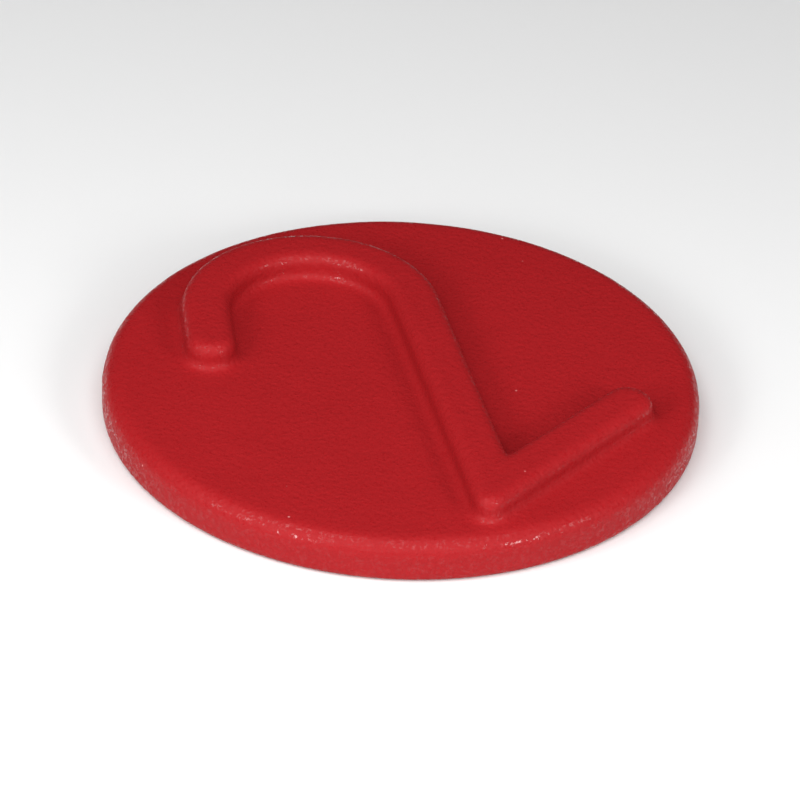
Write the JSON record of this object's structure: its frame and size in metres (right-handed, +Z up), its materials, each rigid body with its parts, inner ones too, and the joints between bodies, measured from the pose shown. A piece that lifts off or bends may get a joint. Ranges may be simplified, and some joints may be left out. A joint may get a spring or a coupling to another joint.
{
  "type": "weighted numbered disc",
  "caption": "Flat round marker weight with a raised numeral bent from bar, coated all over in soft red vinyl; it lies flat on a floor or rink and marks or weighs a place.",
  "frame": {"origin": "centre of the flat round underside", "axes": "+Z up through the disc, +X along the foot of the numeral, +Y towards the top of the numeral"},
  "size_m": [0.15, 0.15, 0.0173],
  "materials": {
    "red_vinyl": "satin dip-coated soft vinyl with a fine grain, one colour all over",
    "plate_steel": "blanked and ground mild steel plate, lightly blasted for the coating",
    "bar_steel": "cold drawn flat bar, dark drawing marks along its length",
    "weld_metal": "as-welded bead, wire brushed, faint heat tint",
    "wire_steel": "bright hard wire, snipped end"
  },
  "bodies": {
    "root": {"vinyl_coating": "red_vinyl", "core_plate": "plate_steel", "numeral_hook_bar": "bar_steel", "numeral_foot_bar": "bar_steel", "corner_weld": "weld_metal", "tack_welds": "weld_metal", "hanging_pin": "wire_steel"}
  },
  "joints": []
}
